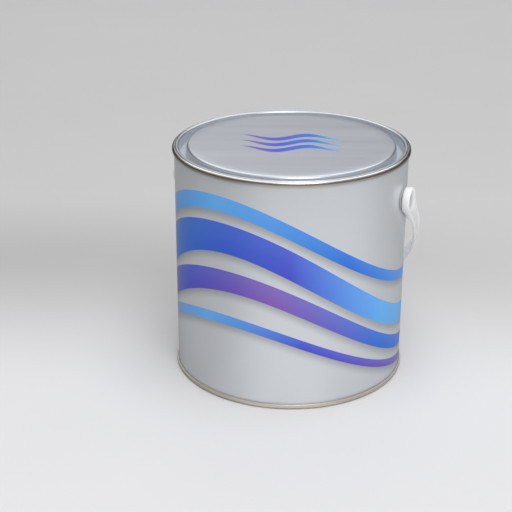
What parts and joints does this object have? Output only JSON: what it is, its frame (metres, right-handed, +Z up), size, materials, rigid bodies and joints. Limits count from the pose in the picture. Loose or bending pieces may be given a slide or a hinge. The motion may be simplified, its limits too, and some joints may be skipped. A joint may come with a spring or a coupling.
{
  "type": "tin of putty",
  "caption": "Round tinplate can of filling putty with double-seamed ends, a press-in lever lid and a hinged plastic carrying handle.",
  "frame": {"origin": "centre of the standing rim, on the can's axis, at the surface it stands on", "axes": "+Z up along the can's axis; +X along the handle's hinge axis, through the right ear; the handle hangs on the +Y side at rest"},
  "size_m": [0.1788, 0.1815, 0.1672],
  "materials": {
    "printed_tinplate": "gloss",
    "tinplate": "polished",
    "lid_tinplate": "satin",
    "lining_compound": "matte",
    "white_plastic": "satin",
    "putty": "satin"
  },
  "bodies": {
    "can": {"can_body": "printed_tinplate", "bottom_end": "tinplate", "top_ring": "tinplate", "bottom_sealant": "lining_compound", "top_sealant": "lining_compound", "ear_right": "tinplate", "ear_left": "tinplate", "putty_fill": "putty"},
    "lid": {"lid": "lid_tinplate"},
    "handle": {"carry_handle": "white_plastic"}
  },
  "joints": [
    {"name": "handle_swing", "type": "hinge", "parent": "can", "child": "handle", "pos_m": [0, 0, 0.1362], "axis": [1, 0, 0], "range_deg": [0, 276]},
    {"name": "lid_lift", "type": "slide", "parent": "can", "child": "lid", "axis": [0, 0, 1], "range_m": [0, 0.06]}
  ]
}
